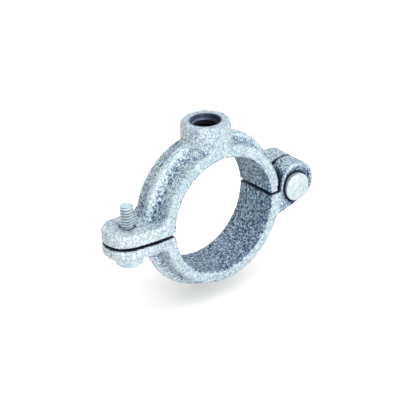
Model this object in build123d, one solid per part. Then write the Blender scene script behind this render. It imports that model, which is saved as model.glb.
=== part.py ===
from build123d import *
import math
import os

# Split ring hanger for one size of pipe, in millimetres.
# Origin on the pipe's axis, midway along the ring. X runs from the bolt ears (-) to the hinge (+),
# Y runs along the pipe with the front of the hanger at -Y, and Z runs up the hanger rod.

# Ring
pipe_radius = 21.1
pipe_clearance = 0.25
band_wall = 4.3
band_width = 17.6
rim_fillet = 0.9
bore_edge_fillet = 0.35

# Rib round the middle of the band
rib_height = 3.3
rib_root_width = 4.8
rib_crest_width = 2.6
rib_root_fillet = 1.4
rib_crest_fillet = 1.2
rib_end_fillet = 3.5

# Parting gap between the two halves, lower at the bolt than at the hinge
hinge_gap_bottom = 0.1
hinge_gap_width = 1.0
bolt_gap_bottom = -1.05
bolt_gap_width = 1.1

# Rod boss, its hole as wide as the outside of the rod's thread
boss_rise = 4.8
boss_top_radius = 8.7
boss_root_radius = 8.95
boss_root_fillet = 5.0
boss_rim_fillet = 1.1
rod_thread_radius = 4.76
rod_mouth_radius = 6.05

# Ears and their bolt
bolt_stand_off = 6.55
bolt_radius = 2.4
thread_clearance = 0.04
bolt_projection = 8.45
bolt_tip_chamfer = 0.7
head_across_flats = 9.5
head_height = 4.0
head_chamfer = 1.8
head_seat_gap = 0.05
upper_ear_thickness = 4.7
lower_ear_thickness = 4.65
ear_end_reach = 8.8
ear_end_radius = 8.2
ear_taper_start = 0.55
ear_root_fillet = 3.2
upper_ear_fillet = 1.0
lower_ear_fillet = 2.4
lower_ear_rib_fillet = 1.4
jaw_hole_clearance = 0.3
jaw_hole_slot = 1.5

# Hinge: one lug on each half, side by side on a rivet that lies inward of the lugs' middle and below it
lug_band_gap = 0.45
lug_height = 1.5
jaw_lug_radius = 7.5
upper_lug_radius = 7.6
lug_split = -0.55
lug_gap = 0.8
jaw_lug_relief = 1.6
upper_lug_relief = 0.6
jaw_lug_fillet = 0.8
upper_lug_fillet = 1.8
jaw_web_foot = -8.85
upper_web_foot = 8.0
web_root_fillet = 3.0
rivet_inward = 0.4
rivet_drop = 1.6
rivet_radius = 3.1
rivet_clearance = 0.06
recess_radius = 5.65
recess_depth = 0.5
dish_radius = 6.7
dish_floor_radius = 5.0
dish_depth = 1.0
rivet_seat_gap = 0.15
rivet_head_radius = 5.15
rivet_head_proud = 0.7
rivet_head_dome = 0.7
rivet_tail_radius = 4.7
rivet_tail_height = 1.5

# Sizes that follow from the ones above
bore_radius = pipe_radius + pipe_clearance
band_radius = bore_radius + band_wall
crest_radius = band_radius + rib_height
half_width = band_width / 2
boss_top = crest_radius + boss_rise
hinge_gap_top = hinge_gap_bottom + hinge_gap_width
bolt_gap_top = bolt_gap_bottom + bolt_gap_width
ear_top = bolt_gap_top + upper_ear_thickness
ear_bottom = bolt_gap_bottom - lower_ear_thickness
bolt_reach = crest_radius + bolt_stand_off
ear_end_centre = (ear_end_radius - bolt_reach - ear_end_reach, half_width - ear_end_radius)
lug_reach = band_radius + jaw_lug_radius + lug_band_gap
rivet_reach = lug_reach - rivet_inward
rivet_height = lug_height - rivet_drop
jaw_lug_back = lug_split - lug_gap / 2
upper_lug_front = lug_split + lug_gap / 2
recess_floor = -half_width + dish_depth + recess_depth
rib_core_radius = crest_radius - rib_crest_fillet / 2
rib_core_width = rib_crest_width - rib_crest_fillet / 2
room = 4 * crest_radius
inset = 1.0


def along_pipe(sketch, front, back):
    """Solid of an upright outline, its x along X and its y along Z, between two places along the pipe."""
    return Pos(0, back, 0) * extrude(Plane.XZ * sketch, back - front)


def corners_at(sketch, points, reach=0.02):
    """The corners of a sketch that lie on the given points."""
    return [
        v for v in sketch.vertices()
        if any(math.dist((v.X, v.Y), p) < reach for p in points)
    ]


def block(x0, z0, x1, z1):
    """Upright rectangle between two corners."""
    return Pos((x0 + x1) / 2, (z0 + z1) / 2) * Rectangle(abs(x1 - x0), abs(z1 - z0))


def parting(side, end):
    """Height of a half's face at the parting gap: side is 1 for the upper half and -1 for the jaw,
    end is 1 at the hinge and -1 at the bolt."""
    if side > 0:
        return hinge_gap_top if end > 0 else bolt_gap_top
    return hinge_gap_bottom if end > 0 else bolt_gap_bottom


def half(side):
    """Everything on one half's side of the parting gap."""
    hinge_part = block(0, parting(side, 1), room, side * room)
    return hinge_part + block(-room, parting(side, -1), 0, side * room)


def on_circle(radius, z, side=1):
    """Point of a circle about the pipe's axis at a height, on the hinge's side or (-1) the bolt's."""
    return side * math.sqrt(radius ** 2 - z ** 2), z


def tangent(start, centre, radius, side):
    """Turn and length of the straight line from a point that touches a circle, on one side of it."""
    away = math.dist(start, centre)
    turn = math.atan2(centre[1] - start[1], centre[0] - start[0]) + side * math.asin(radius / away)
    return turn, math.sqrt(away ** 2 - radius ** 2)


def along(start, turn, length):
    return start[0] + length * math.cos(turn), start[1] + length * math.sin(turn)


def blended(radius, plate, corner, blend):
    """A disc about the pipe's axis with a plate run into it, and a fillet in the corner between them."""
    outline = Circle(radius) + plate
    return fillet(corners_at(outline, [corner]), blend)


def face_edges(solid, y, least_radius):
    """Edges of a solid that lie in a plane across the pipe, further from its axis than a radius."""
    found = []
    for e in solid.edges():
        spots = [e @ 0, e @ 0.5, e @ 1]
        flat = all(abs(p.Y - y) < 0.001 for p in spots)
        level = abs(spots[0].Z - spots[1].Z) + abs(spots[0].Z - spots[2].Z) < 0.001
        end = math.copysign(1, spots[1].X)
        at_gap = level and min(abs(spots[0].Z - parting(side, end)) for side in (-1, 1)) < 0.001
        if flat and not at_gap and math.hypot(spots[1].X, spots[1].Z) > least_radius:
            found.append(e)
    return found


def band_half(side):
    """Half of the plain band, with softened rims."""
    outline = (Circle(band_radius) - Circle(bore_radius)) & half(side)
    solid = along_pipe(outline, -half_width, half_width)
    edges = [e for y in (-half_width, half_width) for e in face_edges(solid, y, 0)]
    outer = [e for e in edges if math.hypot((e @ 0.5).X, (e @ 0.5).Z) > band_radius - inset]
    solid = fillet(outer, rim_fillet)
    edges = [e for y in (-half_width, half_width) for e in face_edges(solid, y, 0)]
    inner = [e for e in edges if math.hypot((e @ 0.5).X, (e @ 0.5).Z) < bore_radius + inset]
    return fillet(inner, bore_edge_fillet)


def limb(side, plate, corner, blend):
    """Upright outline of an ear or web: a plate run out from the band, and the fillet at its foot."""
    outline = blended(band_radius, plate, corner, blend) & half(side)
    on_band = [v for v in outline.vertices() if abs(math.hypot(v.X, v.Y) - band_radius) < 0.001]
    last = min(on_band, key=lambda v: math.dist((v.X, v.Y), corner))
    end = math.copysign(1, corner[0])
    beyond = room / band_radius
    sector = make_face(Polyline(
        (end * inset, 0),
        (end * room, -side * room),
        (last.X * beyond, last.Y * beyond),
        (last.X / 2, last.Y / 2),
        close=True,
    ))
    return (outline & sector) - Circle(bore_radius + inset)


def ear(side, thickness, edge_fillet, rib_blend):
    """Bolt ear, straight at the back, drawn in a little at the front and round at the end."""
    level = parting(side, -1) + side * thickness
    plate = block(-room, parting(side, -1), 0, level)
    outline = limb(side, plate, on_circle(band_radius, level, -1), ear_root_fillet)
    start = (-crest_radius - ear_taper_start, -half_width)
    touch = along(start, *tangent(start, ear_end_centre, ear_end_radius, 1))
    back = (ear_end_centre[0], half_width)
    plan = make_face(Polyline(
        (0, -half_width), start, touch, ear_end_centre, back, (0, half_width), close=True,
    ))
    plan += Pos(*ear_end_centre) * Circle(ear_end_radius)
    solid = along_pipe(outline, -half_width, half_width) & extrude(plan, room, both=True)
    sides = face_edges(solid, -half_width, band_radius) + face_edges(solid, half_width, band_radius)
    end = [
        e for e in solid.edges()
        if all(abs((e @ t).Z - level) < 0.001 for t in (0, 0.5, 1)) and (e @ 0.5).X < start[0]
        and abs((e @ 0.5).Y - half_width) > 0.001
    ]
    solid = fillet(sides + end, edge_fillet)
    return solid + rib_end(side, plate, on_circle(rib_core_radius, level, -1), rib_blend)


def rib():
    """The rounded rib, turned a full circle about the pipe's axis, with its foot sunk in the band."""
    foot = rib_root_width / 2 + rib_root_fillet
    outline = make_face(Polyline(
        (band_radius - inset, -foot),
        (band_radius, -foot),
        (band_radius, -rib_root_width / 2),
        (crest_radius, -rib_crest_width / 2),
        (crest_radius, rib_crest_width / 2),
        (band_radius, rib_root_width / 2),
        (band_radius, foot),
        (band_radius - inset, foot),
        close=True,
    ))
    roots = [(band_radius, s * rib_root_width / 2) for s in (-1, 1)]
    crests = [(crest_radius, s * rib_crest_width / 2) for s in (-1, 1)]
    outline = fillet(corners_at(outline, roots), rib_root_fillet)
    outline = fillet(corners_at(outline, crests), rib_crest_fillet)
    return revolve(outline, Axis.Y)


def rib_end(side, plate, corner, blend=rib_end_fillet, front=-room, back=room):
    """Run-out of the rib on an ear, a web or the boss: a fillet in its own plane, as wide as its crest."""
    outline = blended(rib_core_radius, plate, corner, blend) & half(side)
    outline &= Pos(*corner) * Rectangle(3 * blend, 3 * blend)
    outline -= Circle(band_radius - inset)
    return along_pipe(outline, max(front, -rib_core_width / 2), min(back, rib_core_width / 2))


def lug_disc(radius):
    return Pos(lug_reach, lug_height) * Circle(radius)


def rivet_disc(radius):
    return Pos(rivet_reach, rivet_height) * Circle(radius)


def lug(side, radius, foot_height, edge_fillet, front, back):
    """A hinge lug, on its own part of the width, with the web that carries it: the web's straight outer
    side leaves the band at foot_height and touches the lug's disc."""
    foot = on_circle(band_radius, foot_height)
    turn, length = tangent(foot, (lug_reach, lug_height), radius, side)
    start = along(foot, turn, -web_root_fillet)
    touch = along(foot, turn, length)
    face = parting(side, 1)
    plate = make_face(Polyline((0, face), (lug_reach, face), touch, start, (0, start[1]), close=True))
    solid = along_pipe(limb(side, plate, foot, web_root_fillet) + lug_disc(radius), front, back)
    outer_face = front if front < -half_width + inset else back
    solid = fillet(face_edges(solid, outer_face, band_radius), edge_fillet)
    inward = foot[0] * math.cos(turn) + foot[1] * math.sin(turn)
    to_rib = math.sqrt(inward ** 2 + rib_core_radius ** 2 - band_radius ** 2) - inward
    corner = along(foot, turn, to_rib)
    return solid + rib_end(side, plate, corner, front=front, back=back)


def boss():
    """Rod boss: slightly tapered, round at the rim and flared at the root, no wider than the band."""
    centre_x = boss_root_radius + boss_root_fillet
    centre_z = math.sqrt((band_radius + boss_root_fillet) ** 2 - centre_x ** 2)
    foot_turn = math.atan2(centre_z, centre_x)
    foot = (band_radius * math.cos(foot_turn), band_radius * math.sin(foot_turn))
    middle_turn = math.pi + foot_turn / 2
    middle = (
        centre_x + boss_root_fillet * math.cos(middle_turn),
        centre_z + boss_root_fillet * math.sin(middle_turn),
    )
    sunk = (foot[0] - inset / 2, foot[1] - inset)
    neck = (boss_root_radius, centre_z)
    rim = (boss_top_radius, boss_top)
    outline = make_face([
        ThreePointArc(foot, middle, neck),
        Polyline(neck, rim, (0, boss_top), (0, sunk[1]), sunk, foot),
    ])
    outline = fillet(corners_at(outline, [rim]), boss_rim_fillet)
    solid = revolve(Plane.XZ * outline, Axis.Z) & Box(room, band_width, room)
    core = block(-boss_top_radius, 0, boss_top_radius, boss_top - 2 * boss_rim_fillet)
    for side in (-1, 1):
        corner = (side * boss_top_radius, math.sqrt(rib_core_radius ** 2 - boss_top_radius ** 2))
        solid += rib_end(1, core, corner)
    return solid


def upright_hole(x, radius, low, high):
    return Pos(x, 0, (low + high) / 2) * Cylinder(radius, high - low)


def rod_hole():
    """Tapped hole from the boss's top into the bore, with its countersunk mouth."""
    bevel = rod_mouth_radius - rod_thread_radius
    mouth = Pos(0, 0, boss_top - bevel / 2) * Cone(rod_thread_radius, rod_mouth_radius, bevel)
    return upright_hole(0, rod_thread_radius, 0, boss_top + inset) + mouth


def upper_half():
    """Upper casting: half ring, rod boss, tapped bolt ear and the rear hinge lug."""
    solid = band_half(1) + ear(1, upper_ear_thickness, upper_ear_fillet, rib_end_fillet)
    solid += along_pipe(half(1), -half_width, half_width) & rib()
    solid += boss()
    solid -= along_pipe(lug_disc(jaw_lug_radius + jaw_lug_relief), -room, upper_lug_front)
    solid += lug(1, upper_lug_radius, upper_web_foot, upper_lug_fillet, upper_lug_front, half_width)
    solid -= along_pipe(Circle(bore_radius), -room, room)
    solid -= along_pipe(rivet_disc(rivet_radius + rivet_clearance), -room, room)
    solid -= upright_hole(-bolt_reach, bolt_radius + thread_clearance, 0, room)
    return solid - rod_hole()


def lower_jaw():
    """Swinging casting: half ring, plain bolt ear and the front hinge lug with its recess."""
    solid = band_half(-1) + ear(-1, lower_ear_thickness, lower_ear_fillet, lower_ear_rib_fillet)
    solid += along_pipe(half(-1), -half_width, half_width) & rib()
    solid -= along_pipe(lug_disc(upper_lug_radius + upper_lug_relief), jaw_lug_back, room)
    solid += lug(-1, jaw_lug_radius, jaw_web_foot, jaw_lug_fillet, -half_width, jaw_lug_back)
    solid -= along_pipe(Circle(bore_radius), -room, room)
    solid -= along_pipe(rivet_disc(rivet_radius + rivet_clearance), -room, room)
    solid -= rivet_recess()
    slot_radius = bolt_radius + jaw_hole_clearance
    slot = Pos(-bolt_reach - jaw_hole_slot / 2, 0) * SlotCenterToCenter(jaw_hole_slot, 2 * slot_radius)
    return solid - extrude(slot, room / 2, both=True)


def rivet_recess():
    """Counterbore for the rivet's head, and a shallow dish over the whole face of the lug."""
    middle = Pos(lug_reach, -half_width + dish_depth / 2, lug_height) * Rot(90, 0, 0)
    dish = middle * Cone(dish_floor_radius, dish_radius, dish_depth)
    return dish + along_pipe(rivet_disc(recess_radius), -room, recess_floor)


def hinge_rivet():
    """Shank through both lugs, low domed head in front and peened tail behind."""
    seat = recess_floor - rivet_seat_gap
    rim = -half_width - rivet_head_proud
    tail = half_width + rivet_tail_height
    outline = make_face([
        Polyline(
            (0, rim - rivet_head_dome), (0, tail),
            (rivet_tail_radius - rivet_tail_height / 2, tail), (rivet_tail_radius, half_width),
            (rivet_radius, half_width), (rivet_radius, seat),
            (rivet_head_radius, seat), (rivet_head_radius, rim),
        ),
        RadiusArc((rivet_head_radius, rim), (0, rim - rivet_head_dome),
                  (rivet_head_radius ** 2 + rivet_head_dome ** 2) / (2 * rivet_head_dome)),
    ])
    return Pos(rivet_reach, 0, rivet_height) * revolve(outline, Axis.Y)


def closing_bolt():
    """Hexagon bolt, put in from below through the jaw's ear and screwed into the upper one."""
    head_top = ear_bottom - head_seat_gap
    tip = ear_top + bolt_projection
    head = extrude(RegularPolygon(head_across_flats / 2, 6, major_radius=False), -head_height)
    blank = extrude(Circle(head_across_flats / math.sqrt(3)), -head_height)
    blank = chamfer(blank.edges().group_by(Axis.Z)[0], head_chamfer)
    shank = extrude(Circle(bolt_radius), tip - head_top)
    shank = chamfer(shank.edges().group_by(Axis.Z)[-1], bolt_tip_chamfer)
    return Pos(-bolt_reach, 0, head_top) * ((head & blank) + shank)


os.makedirs("parts", exist_ok=True)
for name, make in {
    "upper_half": upper_half,
    "lower_jaw": lower_jaw,
    "hinge_rivet": hinge_rivet,
    "closing_bolt": closing_bolt,
}.items():
    export_step(make(), "parts/" + name + ".step")
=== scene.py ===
import math

import bmesh
import bpy
from mathutils import Matrix, Vector


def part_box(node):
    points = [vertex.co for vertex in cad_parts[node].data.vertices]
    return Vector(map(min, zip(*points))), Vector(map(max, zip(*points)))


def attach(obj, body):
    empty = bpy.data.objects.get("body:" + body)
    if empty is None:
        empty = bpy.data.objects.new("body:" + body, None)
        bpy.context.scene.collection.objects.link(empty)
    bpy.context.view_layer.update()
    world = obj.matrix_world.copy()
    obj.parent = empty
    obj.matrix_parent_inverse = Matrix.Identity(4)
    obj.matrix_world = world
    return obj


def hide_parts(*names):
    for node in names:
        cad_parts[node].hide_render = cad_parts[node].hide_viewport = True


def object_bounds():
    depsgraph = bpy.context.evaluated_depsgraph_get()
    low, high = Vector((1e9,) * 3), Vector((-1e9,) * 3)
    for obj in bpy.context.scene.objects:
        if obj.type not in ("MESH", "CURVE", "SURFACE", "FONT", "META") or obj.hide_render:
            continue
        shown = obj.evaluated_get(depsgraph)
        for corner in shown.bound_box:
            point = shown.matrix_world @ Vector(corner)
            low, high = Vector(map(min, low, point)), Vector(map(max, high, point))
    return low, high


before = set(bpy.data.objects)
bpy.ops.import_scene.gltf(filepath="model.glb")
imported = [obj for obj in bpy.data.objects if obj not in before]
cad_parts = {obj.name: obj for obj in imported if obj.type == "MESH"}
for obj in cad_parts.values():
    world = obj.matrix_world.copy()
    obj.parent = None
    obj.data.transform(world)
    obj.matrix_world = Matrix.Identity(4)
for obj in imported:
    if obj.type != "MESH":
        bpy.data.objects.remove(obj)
cad_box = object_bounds()
MM = 0.001

# The photograph's camera, in degrees, millimetres and the pixels of its 400 by 400 frame
PHOTO_SIDE = 400
VIEW_AZIMUTH = 37.4
VIEW_ELEVATION = 27.0
VIEW_ROLL = -2.3
VIEW_DISTANCE = 800
PIXELS_PER_MM = 2.84
AIM_RIGHT = -3.05
AIM_UP = 2.3
SENSOR_WIDTH = 36

# Lamps: name, azimuth, elevation, distance, size and power; azimuth 0 is in front and 90 at the hinge's end
LAMPS = (
    ("key", 8, 22, 0.9, 0.45, 4.6),
    ("fill", -55, 8, 1.0, 0.8, 3.15),
    ("overhead", 0, 88, 1.0, 1.4, 4.9),
    ("back", 165, 28, 1.0, 0.8, 2.0),
)
SKY_COLOUR = (0.80, 0.90, 1.0)
SKY_STRENGTH = 0.22

# Floor: how near the part shades it and how the shade leans to the back, and where the floor turns white
FLOOR_SIZE = 6
FLOOR_COLOUR = (0.91, 0.87, 0.82)
FLOOR_SHADE = 30 * MM
FLOOR_SHADE_LEAN = 50
FLOOR_SHADE_RANGE = (0.55, 0.95)
FLOOR_GLOW = (0.12, 0.62)
FLOOR_NEAR = 120
FLOOR_FAR = 500
FLOOR_FAR_GLOW = 0.4

# Ring and hinge of the castings, in millimetres, and the jaw's swing in degrees
BORE_RADIUS = 21.35
HINGE_X = 33.6
HINGE_Z = 0.5
JAW_SWING = 8

# Skin of the castings: softened edges, then lumps and sand as name, size and height
VOXEL = 0.30 * MM
SOFTEN_FACTOR = 0.5
SOFTEN_ROUNDS = 4
CAST_LUMPS = (("lumps", 3.0 * MM, 0.25 * MM), ("sand", 0.8 * MM, 0.22 * MM))

# Grain of the castings: cycles in a millimetre, the shares of fine and coarse, and its height
GRAIN_SCALE = 1.9
COARSE_SCALE = 0.9
CLOUD_SCALE = 0.16
GRAIN_SHARE = 0.65
COARSE_SHARE = 0.35
PIT_RANGE = (0.38, 0.60)
CLOUD_RANGE = (0.3, 0.7)
CLOUD_TONE = 0.1
GRAIN_HEIGHT = 0.9 * MM
CASTING_ROUGHNESS = (0.75, 0.4)
CASTING_METAL = (0.0, 0.3)
SHINY_RANGE = (0.5, 1.0)
RIB_SMOOTHING = 0.55

# How closed in a place is, seen over a short and a longer distance, which sets painted shade in hollows and
# painted black in narrow gaps
CLOSE_REACH = 3.5 * MM
WIDE_REACH = 14 * MM
CLOSE_SHARE = 0.6
WIDE_SHARE = 0.4
OPEN_RANGE = (0.66, 0.99)
BLACK_RANGE = (0.36, 0.74)
RIB_OPENNESS = 0.6

# Zones of the castings, in millimetres, each fading over a span of distances
BORE_SPAN = (BORE_RADIUS + 0.25, BORE_RADIUS + 0.7)
SIDE_SPAN = (7.0, 8.5)
HINGE_SPAN = (7.5, 11.5)
HINGE_FACE_SPAN = (7.7, 8.5)
HINGE_FACE_SHARE = 0.35
PARTING_HEIGHT = 0.6
PARTING_SPAN = (0.65, 1.0)
WEB_CENTRE = (28.8, -4.5)
WEB_SPAN = (4.0, 6.0)
WEB_INNER_SPAN = (25.3, 26.3)
DISH_SPAN = (5.9, 6.8)
DISH_RIGHT_SPAN = (33.0, 36.0)
DISH_BACK_SPAN = (-6.8, -6.3)
CUT_SPAN = (27.6, 30.2)
CUT_LEFT_SPAN = (23, 25)
CUT_LOW_SPAN = (-2.0, -0.6)
CUT_BACK_SPAN = (-1.2, -0.6)
CUT_SIDE_SPAN = (7.6, 8.5)
VALLEY_SPAN = (25.9, 27.6)
RIB_FOOT_SPAN = (26.3, 27.3)
RIB_CREST_SPAN = (29.2, 29.8)
RIB_SIDE_SPAN = (2.2, 3.0)
EAR_SPAN = (-32, -28)

# What each zone adds to the contrast of the grain as painted glints and dark pits, and takes from the tone
# as painted shade; the ear's negative share is painted light
SPECKLE_IN_SHADE = {"bore": 0.26, "hinge": 0.24, "closed": 0.4, "inner": 0.1, "valley": 0.14, "web": 0.24}
PAINTED_SHADING = {
    "bore": 0.49,
    "hinge": 0.25,
    "closed": 0.62,
    "inner": 0.08,
    "valley": 0.12,
    "web": 0.34,
    "cut": 0.5,
    "dish": 0.4,
    "parting": 0.4,
    "face": 0.055,
    "ear": -0.08,
}
BASE_SPECKLE = 0.38
BASE_TONE = 0.54
CASTING_RAMP = (
    (0.0, (0.018, 0.037, 0.10)),
    (0.3, (0.092, 0.175, 0.31)),
    (0.6, (0.42, 0.575, 0.675)),
    (1.0, (0.86, 0.95, 0.96)),
)
CASTING_GAP_SHADE = (0.003, 0.006, 0.014)

# Plated steel of the rivet and the bolt: a light and a dark colour, roughness and depth of its scuffs
RIVET_PLATE = ((0.69, 0.80, 0.81), (0.46, 0.57, 0.60), 0.42, 0.06 * MM)
BOLT_PLATE = ((0.78, 0.92, 0.97), (0.38, 0.50, 0.57), 0.38, 0.06 * MM)
PLATE_METAL = 0.35
PLATE_CLOUD_SCALE = 0.5
PLATE_CLOUD_SHARE = 0.7
PLATE_FINE_SCALE = 2.2
PLATE_FINE_SHARE = 0.3
PLATE_ROUGHER = 0.12
TONE_RANGE = (0.35, 0.65)
SCUFF_STRENGTH = 0.5
# Reach and range of the painted shade in the plate's hollows, and its colour
PLATE_REACH = 1.2 * MM
PLATE_BLACK_RANGE = (0.35, 0.9)
PLATE_HOLLOW_SHADE = (0.01, 0.015, 0.03)

# Thread in the boss: dark and light colours of the countersink, of the lead-in, lighter as painted light,
# and of the depth, nearly black as painted shade
MOUTH_COLOURS = ((0.008, 0.016, 0.036), (0.075, 0.115, 0.195))
LEAD_COLOURS = ((0.05, 0.08, 0.13), (0.24, 0.30, 0.40))
DEPTH_COLOURS = ((0.001, 0.002, 0.005), (0.004, 0.007, 0.014))
# Colour of the painted shade on one side of the hole, then the thread's oily smears, roughness, shine and
# scuffs
SIDE_SHADE_COLOUR = (0.002, 0.004, 0.010)
OIL_SMEAR_SCALE = 0.8
OIL_FINE_SCALE = 2.0
OIL_SHARES = (0.5, 0.5)
OIL_ROUGHNESS = (0.5, 0.7)
OIL_SHINE = 0.15
OIL_SCUFF = 0.15 * MM
OIL_SCUFF_STRENGTH = 0.6
# Painted shade on one side of the hole: its direction across the part, its span and its strength
SHADED_SIDE_TOWARDS = (0.79, -0.61)
SHADED_SIDE_SPAN = (-1.5, 3.5)
SHADED_SIDE_STRENGTH = 0.88
EDGE_COLOUR = (0.50, 0.60, 0.66)
EDGE_SPAN = (5.45, 5.75)

# The bolt's axis, ends and head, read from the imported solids, in millimetres
BOLT_LOW, BOLT_HIGH = (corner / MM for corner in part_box("closing_bolt"))
BOLT_AXIS = ((BOLT_LOW.x + BOLT_HIGH.x) / 2, 0)
BOLT_RADIUS = 2.4
BOLT_PITCH = 25.4 / 24
BOLT_ROOT_RADIUS = 1.86
BOLT_FLATS = (0.2, 0.15)
BOLT_TIP_CHAMFER = 0.7
BOLT_INTO_HEAD = 0.3
HEAD_HEIGHT = 4.0
HEAD_CHAMFER = 1.8
HEAD_FLATS = (BOLT_HIGH.y - BOLT_LOW.y) / 2
HEAD_CORNER = (BOLT_HIGH.x - BOLT_LOW.x) / 2
HEAD_CORNER_SHARE = 0.985
HEAD_FOOT_ROUND = (0.1, 0.06)
HEAD_TOP_ROUND = (0.12, 0.25)
HEAD_TOP_LEVEL = 0.1
HEAD_SLOPE_STEP = 0.2

# The rivet, its head in front, with its waves as count, start and depth
RIVET_LOW, RIVET_HIGH = (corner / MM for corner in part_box("hinge_rivet"))
RIVET_X = (RIVET_LOW.x + RIVET_HIGH.x) / 2
RIVET_Z = (RIVET_LOW.z + RIVET_HIGH.z) / 2
RIVET_HEAD_RADIUS = (RIVET_HIGH.x - RIVET_LOW.x) / 2
RIVET_HEAD_THICKNESS = 2.75
RIVET_DOME_SHARE = 0.93
RIVET_DOME_HEIGHT = 0.62
RIVET_DOME_POWER = 2.6
RIVET_RIM_DEPTH = 1.0
RIVET_RIM_ROUND = 0.38
RIVET_EDGE = 0.15
RIVET_SHANK_RADIUS = 3.1
RIVET_TAIL_RADIUS = 4.7
RIVET_TAIL_HEIGHT = 1.5
RIVET_TAIL_FOOT = 0.25
RIVET_TAIL_INSET = 0.3
RIVET_TAIL_POWER = 0.7
RIVET_WAVES = ((3, 0.7, 0.012), (5, 0.0, 0.008))
RIVET_HEAD_WAVE_SHARE = 0.25
ON_AXIS = 0.02

# Thread in the rod hole, with its lead-in and the countersink above it as radius and height
ROD_PITCH = 25.4 / 16
ROD_ROOT_RADIUS = 4.66
ROD_CREST_RADIUS = 4.02
ROD_FLATS = (0.12, 0.2)
ROD_SLEEVE_RADIUS = 5.1
ROD_LOW = 21.45
ROD_HIGH = 32.42
ROD_LEAD_SPAN = (ROD_HIGH - 1.2, ROD_HIGH - 0.8)
ROD_MOUTH_SPAN = (ROD_HIGH - 0.1, ROD_HIGH + 0.1)
ROD_MOUTH_RADIUS = 4.74
ROD_SLEEVE_DROP = 0.6
ROD_COUNTERSINK = ((6.0, 33.66), (5.85, 33.80), (5.65, 33.70), (4.82, 32.84))

# Points round each turned form, steps in a pitch of thread, and tolerances of the meshes in millimetres
HEAD_SEGMENTS = 96
RIVET_SEGMENTS = 72
THREAD_SEGMENTS = 60
THREAD_STEPS = 8
CREASE = math.radians(35)
JOIN_WITHIN = 0.002
LEVEL_WITHIN = 0.001


class Signal:
    """An output of a material's nodes that can be used in sums and products."""

    def __init__(self, finish, socket):
        self.finish = finish
        self.socket = socket

    def maths(self, operation, first, second):
        return self.finish.node("Math", {"operation": operation}, {0: first, 1: second})

    def size(self):
        """The value without its sign."""
        return self.finish.node("Math", {"operation": "ABSOLUTE"}, {0: self})

    def __add__(self, other):
        return self.maths("ADD", self, other)

    __radd__ = __add__

    def __sub__(self, other):
        return self.maths("SUBTRACT", self, other)

    def __rsub__(self, other):
        return self.maths("SUBTRACT", other, self)

    def __mul__(self, other):
        return self.maths("MULTIPLY", self, other)

    __rmul__ = __mul__


class Finish:
    """The nodes of a material or of the world."""

    def __init__(self, owner):
        self.owner = owner
        owner.use_nodes = True
        self.tree = owner.node_tree
        self.tree.nodes.clear()

    def node(self, kind, settings, inputs, output=0):
        """One output of a new node, whose settings are made before its sockets get values or links."""
        made = self.tree.nodes.new("ShaderNode" + kind)
        for name, value in settings.items():
            setattr(made, name, value)
        for name, value in inputs.items():
            if isinstance(value, Signal):
                self.tree.links.new(value.socket, made.inputs[name])
            else:
                made.inputs[name].default_value = value
        return Signal(self, made.outputs[output]) if made.outputs else None

    def place(self):
        """Position on the part in millimetres, the same at every pose."""
        spot = self.node("TexCoord", {}, {}, "Object")
        return self.node("VectorMath", {"operation": "SCALE"}, {0: spot, "Scale": 1 / MM})

    def axes(self, at):
        """A position's distances along X, Y and Z."""
        return [self.node("SeparateXYZ", {}, {0: at}, axis) for axis in range(3)]

    def radius(self, at, x, z):
        """Distance from an axis along the pipe."""
        upright = self.node("VectorMath", {"operation": "MULTIPLY"}, {0: at, 1: (1, 0, 1)})
        return self.node("VectorMath", {"operation": "DISTANCE"}, {0: upright, 1: (x, 0, z)}, "Value")

    def noise(self, at, scale, detail=2.0, roughness=0.5):
        settings = {"noise_dimensions": "3D"}
        inputs = {"Vector": at, "Scale": scale, "Detail": detail, "Roughness": roughness}
        return self.node("TexNoise", settings, inputs)

    def spread(self, value, low, high, to_low=0.0, to_high=1.0):
        """A value carried from one range to another and held at its ends."""
        inputs = {"Value": value, "From Min": low, "From Max": high, "To Min": to_low, "To Max": to_high}
        return self.node("MapRange", {"clamp": True}, inputs)

    def below(self, value, span):
        """1 below a span, fading to 0 above it."""
        return self.spread(value, *span, 1.0, 0.0)

    def above(self, value, span):
        """0 below a span, rising to 1 above it."""
        return self.spread(value, *span)

    def ramp(self, factor, stops):
        """Colour along a row of places and colours."""
        colour = self.node("ValToRGB", {}, {"Fac": factor})
        elements = colour.socket.node.color_ramp.elements
        while len(elements) < len(stops):
            elements.new(1)
        for element, (place, shade) in zip(elements, stops):
            element.position = place
            element.color = (*shade, 1)
        return colour

    def mix(self, factor, first, second):
        inputs = {0: factor, 6: self.colour(first), 7: self.colour(second)}
        return self.node("Mix", {"data_type": "RGBA"}, inputs, 2)

    def colour(self, value):
        return value if isinstance(value, Signal) else (*value, 1)

    def bump(self, height, distance, strength=1.0):
        return self.node("Bump", {}, {"Height": height, "Distance": distance, "Strength": strength})

    def sheltered(self, distance, **normal):
        """1 in the open, falling to 0 where nearby surfaces close the place in."""
        return self.node("AmbientOcclusion", {"samples": 8}, {"Distance": distance, **normal}, "AO")

    def seen(self):
        """1 where a surface or the sky is seen or mirrored, 0 where it only lights other things."""
        kinds = ("Camera", "Glossy", "Transmission")
        rays = [self.node("LightPath", {}, {}, "Is " + kind + " Ray") for kind in kinds]
        return rays[0] + rays[1] + rays[2]

    def shade(self, **sockets):
        inputs = {name.replace("_", " "): value for name, value in sockets.items()}
        shader = self.node("BsdfPrincipled", {}, inputs)
        self.node("OutputMaterial", {}, {"Surface": shader})
        return self.owner


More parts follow.
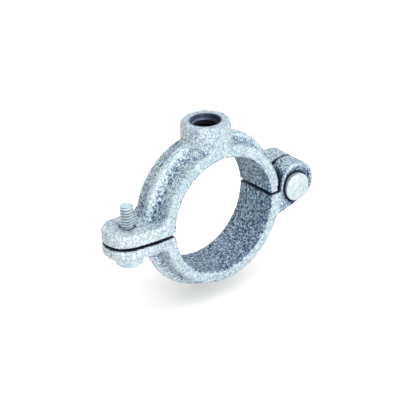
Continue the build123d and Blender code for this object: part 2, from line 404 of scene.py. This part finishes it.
def casting_zones(zinc, at):
    """How far a point belongs to each zone of the castings, from 0 to 1."""
    out = zinc.radius(at, 0, 0)
    across, along, up = zinc.axes(at)
    side = along.size()
    bore = zinc.below(out, BORE_SPAN)
    inner = zinc.below(side, SIDE_SPAN)
    around_hinge = zinc.below(zinc.radius(at, HINGE_X, HINGE_Z), HINGE_SPAN)
    off_face = zinc.spread(side, *HINGE_FACE_SPAN, 1.0, HINGE_FACE_SHARE)
    at_gap = zinc.below((up - PARTING_HEIGHT).size(), PARTING_SPAN)
    around_rivet = zinc.below(zinc.radius(at, RIVET_X, RIVET_Z), DISH_SPAN)
    dish_left = zinc.below(across, DISH_RIGHT_SPAN) * zinc.below(along, DISH_BACK_SPAN)
    beside_ring = zinc.below(out, CUT_SPAN) * zinc.above(across, CUT_LEFT_SPAN)
    jaw_lug = zinc.above(up, CUT_LOW_SPAN) * zinc.below(along, CUT_BACK_SPAN)
    rib_height = zinc.above(out, RIB_FOOT_SPAN) * zinc.below(out, RIB_CREST_SPAN)
    return {
        "bore": bore,
        "inner": inner,
        "face": 1 - inner,
        "hinge": around_hinge * off_face,
        "parting": at_gap * bore * zinc.above(across, (0, 1)),
        "web": zinc.below(zinc.radius(at, *WEB_CENTRE), WEB_SPAN) * zinc.above(out, WEB_INNER_SPAN),
        "dish": around_rivet * dish_left,
        "cut": beside_ring * jaw_lug * zinc.below(side, CUT_SIDE_SPAN),
        "valley": inner * zinc.below(out, VALLEY_SPAN) * (1 - bore),
        "rib": rib_height * zinc.below(side, RIB_SIDE_SPAN),
        "ear": zinc.below(across, EAR_SPAN),
    }


def weighed(zones, weights):
    """Sum of some zones, each times its weight."""
    return sum(zones[name] * weight for name, weight in weights.items())


def galvanised_casting():
    """Zinc over sand-cast iron, pale on its high grains and blue-grey in its pits, with painted shade
    darkening the bore, hollows and recesses, painted black in its narrow gaps, and painted light on the
    ear."""
    zinc = Finish(bpy.data.materials.new("galvanised_casting"))
    at = zinc.place()
    grain = zinc.noise(at, GRAIN_SCALE, 1.0)
    coarse = zinc.noise(at, COARSE_SCALE, 1.0)
    cloud = zinc.above(zinc.noise(at, CLOUD_SCALE), CLOUD_RANGE)
    relief = grain * GRAIN_SHARE + coarse * COARSE_SHARE
    pits = zinc.above(relief, PIT_RANGE)
    near = zinc.sheltered(CLOSE_REACH)
    open_air = zinc.above(near * CLOSE_SHARE + zinc.sheltered(WIDE_REACH) * WIDE_SHARE, OPEN_RANGE)
    zones = casting_zones(zinc, at)
    # Closed-in places, less so on the rib, get painted shade through the tone below
    zones["closed"] = (1 - open_air) * (1 - zones["rib"] * RIB_OPENNESS)
    # Grain contrast, raised by zone as painted glints and dark pits where painted shade falls
    speckle = pits * (weighed(zones, SPECKLE_IN_SHADE) + BASE_SPECKLE)
    # Painted shade darkens the bore, closed-in places, valleys, hinge, web, cut, dish and gap edges;
    # painted light lifts the ear
    tone = speckle + cloud * CLOUD_TONE - weighed(zones, PAINTED_SHADING) + BASE_TONE
    colour = zinc.ramp(tone, CASTING_RAMP)
    # Painted shade: black in narrow gaps, from the short-reach occlusion
    colour = zinc.mix(zinc.above(near, BLACK_RANGE), CASTING_GAP_SHADE, colour)
    rough = zinc.spread(pits, 0.0, 1.0, *CASTING_ROUGHNESS)
    metal = zinc.spread(pits, *SHINY_RANGE, *CASTING_METAL)
    normal = zinc.bump((relief - 0.5) * (1 - zones["rib"] * RIB_SMOOTHING), GRAIN_HEIGHT)
    return zinc.shade(Base_Color=colour, Roughness=rough, Metallic=metal, Normal=normal)


def plated_steel(name, light, dark, roughness, scuff):
    """Zinc plate on smooth steel, a little clouded, with painted shade in its hollows."""
    steel = Finish(bpy.data.materials.new(name))
    at = steel.place()
    cloud = steel.noise(at, PLATE_CLOUD_SCALE, roughness=0.6)
    fine = steel.noise(at, PLATE_FINE_SCALE)
    tone = steel.above(cloud * PLATE_CLOUD_SHARE + fine * PLATE_FINE_SHARE, TONE_RANGE)
    # Painted shade: darker in hollows such as the thread's roots
    open_air = steel.above(steel.sheltered(PLATE_REACH), PLATE_BLACK_RANGE)
    colour = steel.mix(open_air, PLATE_HOLLOW_SHADE, steel.mix(tone, dark, light))
    rough = steel.spread(tone, 0.0, 1.0, roughness + PLATE_ROUGHER, roughness)
    normal = steel.bump(fine, scuff, SCUFF_STRENGTH)
    return steel.shade(Base_Color=colour, Roughness=rough, Metallic=PLATE_METAL, Normal=normal)


def tapped_iron():
    """Thread cut in the casting under a blue-grey countersink with a zinc edge, with painted light on its
    lead-in and painted shade, nearly black, deeper down and on one side.
    """
    iron = Finish(bpy.data.materials.new("tapped_iron"))
    at = iron.place()
    smear = iron.noise(at, OIL_SMEAR_SCALE, 3.0, 0.6)
    fine = iron.noise(at, OIL_FINE_SCALE)
    tone = iron.above(smear * OIL_SHARES[0] + fine * OIL_SHARES[1], TONE_RANGE)
    across, along, height = iron.axes(at)
    flat = iron.node("VectorMath", {"operation": "MULTIPLY"}, {0: at, 1: (1, 1, 0)})
    from_axis = iron.node("VectorMath", {"operation": "LENGTH"}, {0: flat}, "Value")
    mouth, lead, depth = (iron.mix(tone, *pair) for pair in (MOUTH_COLOURS, LEAD_COLOURS, DEPTH_COLOURS))
    # Painted shade deeper down the hole and painted light on the lead-in, by height
    colour = iron.mix(iron.above(height, ROD_LEAD_SPAN), depth, lead)
    colour = iron.mix(iron.above(height, ROD_MOUTH_SPAN), colour, mouth)
    # Painted shade, darker towards one side of the hole
    aside = across * SHADED_SIDE_TOWARDS[0] + along * SHADED_SIDE_TOWARDS[1]
    colour = iron.mix(iron.spread(aside, *SHADED_SIDE_SPAN, 0.0, SHADED_SIDE_STRENGTH), colour, SIDE_SHADE_COLOUR)
    colour = iron.mix(iron.above(from_axis, EDGE_SPAN), colour, EDGE_COLOUR)
    rough = iron.spread(tone, 0.0, 1.0, *OIL_ROUGHNESS)
    normal = iron.bump(fine, OIL_SCUFF, OIL_SCUFF_STRENGTH)
    return iron.shade(Base_Color=colour, Roughness=rough, Specular_IOR_Level=OIL_SHINE, Normal=normal)


def floor_material():
    """Pale floor, white to the camera and in reflections, and greyer where the part shades it."""
    pale = Finish(bpy.data.materials.new("floor"))
    lean = math.radians(FLOOR_SHADE_LEAN)
    light_side = pale.node("CombineXYZ", {}, {0: 0, 1: -math.sin(lean), 2: math.cos(lean)})
    openness = pale.sheltered(FLOOR_SHADE, Normal=light_side)
    away = pale.node("VectorMath", {"operation": "LENGTH"}, {0: pale.place()}, "Value")
    glow_strength = pale.spread(openness, *FLOOR_SHADE_RANGE, *FLOOR_GLOW)
    glow_strength += pale.spread(away, FLOOR_NEAR, FLOOR_FAR, 0.0, FLOOR_FAR_GLOW)
    matt = pale.node("BsdfDiffuse", {}, {"Color": (*FLOOR_COLOUR, 1)})
    glow = pale.node("Emission", {}, {"Color": (1, 1, 1, 1), "Strength": pale.seen() * glow_strength})
    both = pale.node("AddShader", {}, {0: matt, 1: glow})
    pale.node("OutputMaterial", {}, {"Surface": both})
    return pale.owner


def dress(part, material):
    part.data.materials.clear()
    part.data.materials.append(material)


def cast_skin(part):
    """Give a casting its softened edges and sandy skin."""
    remesh = part.modifiers.new("skin", "REMESH")
    remesh.mode = "VOXEL"
    remesh.voxel_size = VOXEL
    remesh.use_smooth_shade = True
    soften = part.modifiers.new("soften", "SMOOTH")
    soften.factor = SOFTEN_FACTOR
    soften.iterations = SOFTEN_ROUNDS
    for name, size, height in CAST_LUMPS:
        texture = bpy.data.textures.new(name, "CLOUDS")
        texture.noise_scale = size
        texture.noise_depth = 1
        press = part.modifiers.new(name, "DISPLACE")
        press.texture = texture
        press.texture_coords = "LOCAL"
        press.mid_level = 0.5
        press.strength = height


def fitting(name, form, material, body):
    """A finished form, in millimetres, as a piece on its body and with its material slot."""
    bmesh.ops.scale(form, vec=(MM, MM, MM), verts=form.verts)
    bmesh.ops.remove_doubles(form, verts=form.verts, dist=JOIN_WITHIN * MM)
    bmesh.ops.recalc_face_normals(form, faces=form.faces)
    for face in form.faces:
        face.smooth = True
    for edge in form.edges:
        if len(edge.link_faces) == 2 and edge.calc_face_angle(0) > CREASE:
            edge.smooth = False
    mesh = bpy.data.meshes.new(name)
    form.to_mesh(mesh)
    form.free()
    piece = bpy.data.objects.new(name, mesh)
    bpy.context.scene.collection.objects.link(piece)
    dress(piece, material)
    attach(piece, body)
    return piece


def circle(form, radius, height, segments):
    """Ring of points about the upright axis; the radius may be a function of the turn."""
    points = []
    for i in range(segments):
        turn = math.tau * i / segments
        r = radius(turn) if callable(radius) else radius
        points.append(form.verts.new((r * math.cos(turn), r * math.sin(turn), height)))
    return points


def skin(form, rings):
    """Faces between each ring of points and the next."""
    for lower, upper in zip(rings, rings[1:]):
        for i in range(len(lower)):
            j = (i + 1) % len(lower)
            form.faces.new((lower[i], lower[j], upper[j], upper[i]))


def closed_skin(form, rings):
    """Faces between rings of points, and over the first and last ring."""
    skin(form, rings)
    form.faces.new(rings[0])
    form.faces.new(rings[-1])


def screw(form, radius_at, pitch, low, high, limit):
    """A right-hand thread's surface: radius_at over one pitch, bounded by limit at each height."""
    segments = THREAD_SEGMENTS
    steps = THREAD_STEPS
    first = -steps
    last = math.ceil((high - low) / pitch * steps) + 1
    rows = {}
    for k in range(first, last + 1):
        row = []
        for i in range(segments):
            turn = math.tau * i / segments
            height = low + pitch * (k / steps + i / segments)
            height = min(max(height, low), high)
            radius = limit(radius_at(k % steps / steps), height)
            row.append(form.verts.new((radius * math.cos(turn), radius * math.sin(turn), height)))
        rows[k] = row
    for k in range(first, last):
        for i in range(segments - 1):
            form.faces.new((rows[k][i], rows[k][i + 1], rows[k + 1][i + 1], rows[k + 1][i]))
        if k + 1 + steps <= last:
            seam = (rows[k][-1], rows[k + steps][0], rows[k + 1 + steps][0], rows[k + 1][-1])
            form.faces.new(seam)
    bmesh.ops.remove_doubles(form, verts=form.verts, dist=JOIN_WITHIN)


def thread_form(crest, root, flats):
    """Radius over one pitch of a thread, its crest and root flat over given shares of the pitch."""
    crest_share, root_share = flats

    def radius_at(phase):
        away = abs(phase - 0.5) * 2
        slope = (away - crest_share) / (1 - crest_share - root_share)
        return crest + (root - crest) * min(max(slope, 0), 1)

    return radius_at


def open_edges(form, height):
    """Edges with one face that lie at a height."""
    return [
        e for e in form.edges
        if e.is_boundary and all(abs(v.co.z - height) < LEVEL_WITHIN for v in e.verts)
    ]


def hexagon_head(form, low, high):
    """Cold-headed hexagon with its outer corners turned off and its edges a little rounded."""
    height = high - low
    face_radius = HEAD_CORNER - HEAD_CHAMFER
    foot_width, foot_height = HEAD_FOOT_ROUND
    top_width, top_height = HEAD_TOP_ROUND

    def radius_at(level):
        def radius(turn):
            off_flat = (turn % (math.pi / 3)) - math.pi / 6
            hexagon = min(HEAD_FLATS / math.cos(off_flat), HEAD_CORNER * HEAD_CORNER_SHARE)
            cone = face_radius + level + foot_width * min(level / foot_height, 1)
            top_edge = top_width * max(0, 1 - (height - level) / top_height) ** 2
            return min(hexagon, cone) - top_edge
        return radius

    sloped = [HEAD_SLOPE_STEP * i for i in range(1, 10)]
    levels = [0, foot_height, *sloped, height - top_height, height - HEAD_TOP_LEVEL, height]
    closed_skin(form, [circle(form, radius_at(level), low + level, HEAD_SEGMENTS) for level in levels])


def closing_bolt():
    """Hexagon bolt, threaded up to its chamfered tip."""
    form = bmesh.new()
    seat = BOLT_LOW.z + HEAD_HEIGHT
    foot = seat - BOLT_INTO_HEAD
    tip = BOLT_HIGH.z
    hexagon_head(form, BOLT_LOW.z, seat)

    def limit(radius, height):
        return min(radius, BOLT_RADIUS - BOLT_TIP_CHAMFER + (tip - height))

    screw(form, thread_form(BOLT_RADIUS, BOLT_ROOT_RADIUS, BOLT_FLATS), BOLT_PITCH, foot, tip, limit)
    for height in (foot, tip):
        bmesh.ops.holes_fill(form, edges=open_edges(form, height), sides=0)
    bmesh.ops.translate(form, vec=(*BOLT_AXIS, 0), verts=form.verts)
    return form


def rod_thread():
    """Thread in the boss: a thin sleeve with its back in the casting, and the countersink above it."""
    form = bmesh.new()

    def limit(radius, height):
        return min(max(radius, ROD_MOUTH_RADIUS - (ROD_HIGH - height)), ROD_SLEEVE_RADIUS)

    profile = thread_form(ROD_CREST_RADIUS, ROD_ROOT_RADIUS, ROD_FLATS)
    screw(form, profile, ROD_PITCH, ROD_LOW, ROD_HIGH, limit)
    foot = open_edges(form, ROD_LOW)
    head = open_edges(form, ROD_HIGH)
    back = [(ROD_SLEEVE_RADIUS, ROD_LOW), (ROD_SLEEVE_RADIUS, ROD_HIGH - ROD_SLEEVE_DROP)]
    rings = [circle(form, radius, height, THREAD_SEGMENTS) for radius, height in (*back, *ROD_COUNTERSINK)]
    skin(form, rings)
    for edges, end in ((foot, rings[0]), (head, rings[-1])):
        rim = [e for e in form.edges if e.verts[0] in end and e.verts[1] in end]
        bmesh.ops.bridge_loops(form, edges=edges + rim)
    return form


def rivet_outline():
    """Radius and place of the rivet's surface, from the middle of its head to the middle of its tail."""
    front = RIVET_LOW.y
    seat = front + RIVET_HEAD_THICKNESS
    tail = RIVET_HIGH.y - RIVET_TAIL_HEIGHT
    dome = RIVET_HEAD_RADIUS * RIVET_DOME_SHARE
    outline = [(ON_AXIS, front)]
    for i in range(1, 9):
        share = i / 8
        outline.append((dome * share, front + RIVET_DOME_HEIGHT * share ** RIVET_DOME_POWER))
    for i in range(1, 6):
        turn = math.radians(18 * i)
        radius = dome + (RIVET_HEAD_RADIUS - dome) * math.sin(turn)
        outline.append((radius, front + RIVET_RIM_DEPTH - RIVET_RIM_ROUND * math.cos(turn)))
    outline += [(RIVET_HEAD_RADIUS, seat - RIVET_EDGE), (RIVET_HEAD_RADIUS - RIVET_EDGE, seat)]
    outline += [(RIVET_SHANK_RADIUS, seat), (RIVET_SHANK_RADIUS, tail)]
    outline += [(RIVET_TAIL_RADIUS - RIVET_TAIL_INSET, tail), (RIVET_TAIL_RADIUS, tail + RIVET_TAIL_FOOT)]
    for i in range(1, 8):
        turn = math.radians(90 * i / 7)
        radius = max(RIVET_TAIL_RADIUS * math.cos(turn) ** RIVET_TAIL_POWER, ON_AXIS)
        rise = (RIVET_TAIL_HEIGHT - RIVET_TAIL_FOOT) * math.sin(turn)
        outline.append((radius, tail + RIVET_TAIL_FOOT + rise))
    return outline, tail


def hinge_rivet():
    """Rivet with a low, round-edged dome in front and a hammered tail behind."""
    form = bmesh.new()
    outline, tail = rivet_outline()

    def radius_at(radius, place):
        share = 1 if place > tail else RIVET_HEAD_WAVE_SHARE
        return lambda turn: radius * (1 - share * sum(
            depth * (1 + math.sin(count * turn + start)) / 2 for count, start, depth in RIVET_WAVES
        ))

    closed_skin(form, [circle(form, radius_at(*point), point[1], RIVET_SEGMENTS) for point in outline])
    lay_down = Matrix.Rotation(-math.pi / 2, 3, "X")
    bmesh.ops.rotate(form, cent=(0, 0, 0), matrix=lay_down, verts=form.verts)
    bmesh.ops.translate(form, vec=(RIVET_X, 0, RIVET_Z), verts=form.verts)
    return form


def pieces():
    """Dress the castings, and put the rivet, the bolt and the thread in their places."""
    zinc = galvanised_casting()
    for node in ("upper_half", "lower_jaw"):
        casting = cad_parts[node]
        dress(casting, zinc)
        cast_skin(casting)
    rivet_plate = plated_steel("plated_rivet", *RIVET_PLATE)
    rivet = fitting("rivet", hinge_rivet(), rivet_plate, "upper")
    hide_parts("hinge_rivet")
    bolt_plate = plated_steel("plated_bolt", *BOLT_PLATE)
    bolt = fitting("bolt", closing_bolt(), bolt_plate, "bolt")
    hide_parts("closing_bolt")
    fitting("rod_hole_thread", rod_thread(), tapped_iron(), "upper")


def floor():
    """The surface under the part, low enough for the jaw to swing clear of it."""
    hinge = math.hypot(HINGE_X, HINGE_Z)
    drop = hinge * math.sin(math.radians(JAW_SWING)) * MM
    lowest = cad_box[0].z
    bpy.ops.mesh.primitive_plane_add(size=FLOOR_SIZE, location=(0, 0, lowest - drop))
    plane = bpy.context.object
    plane.name = "floor"
    dress(plane, floor_material())


def sky():
    """Surrounding light, cool and low on the part, white where it is seen or mirrored."""
    studio = Finish(bpy.data.worlds.new("studio"))
    bpy.context.scene.world = studio.owner
    seen = studio.seen()
    colour = studio.mix(seen, SKY_COLOUR, (1, 1, 1))
    strength = studio.spread(seen, 0.0, 1.0, SKY_STRENGTH, 1.0)
    light = studio.node("Background", {}, {"Color": colour, "Strength": strength})
    studio.node("OutputWorld", {}, {"Surface": light})


def lamp(name, azimuth, elevation, distance, size, power):
    """Square soft light that faces the part."""
    data = bpy.data.lights.new(name, "AREA")
    data.size = size
    data.energy = power
    light = bpy.data.objects.new(name, data)
    bpy.context.scene.collection.objects.link(light)
    a = math.radians(azimuth)
    e = math.radians(elevation)
    towards = Vector((math.sin(a) * math.cos(e), -math.cos(a) * math.cos(e), math.sin(e)))
    light.location = towards * distance
    light.rotation_mode = "QUATERNION"
    light.rotation_quaternion = towards.to_track_quat("Z", "Y")


def camera():
    """Stand where the photograph was taken from."""
    a, e, roll = (math.radians(turn) for turn in (VIEW_AZIMUTH, VIEW_ELEVATION, VIEW_ROLL))
    back = Vector((-math.sin(a) * math.cos(e), -math.cos(a) * math.cos(e), math.sin(e)))
    level_right = Vector((math.cos(a), -math.sin(a), 0))
    level_up = back.cross(level_right)
    right = level_right * math.cos(roll) + level_up * math.sin(roll)
    up = level_up * math.cos(roll) - level_right * math.sin(roll)
    data = bpy.data.cameras.new("camera")
    data.sensor_width = SENSOR_WIDTH
    data.lens = SENSOR_WIDTH * PIXELS_PER_MM * VIEW_DISTANCE / PHOTO_SIDE
    data.clip_start = 0.05
    data.clip_end = 20
    eye = bpy.data.objects.new("camera", data)
    bpy.context.scene.collection.objects.link(eye)
    turn = Matrix((right, up, back)).transposed()
    spot = (back * VIEW_DISTANCE + right * AIM_RIGHT + up * AIM_UP) * MM
    eye.matrix_world = Matrix.Translation(spot) @ turn.to_4x4()
    bpy.context.scene.camera = eye


pieces()
bpy.context.scene.view_settings.view_transform = "Standard"
floor()
sky()
for settings in LAMPS:
    lamp(*settings)
camera()
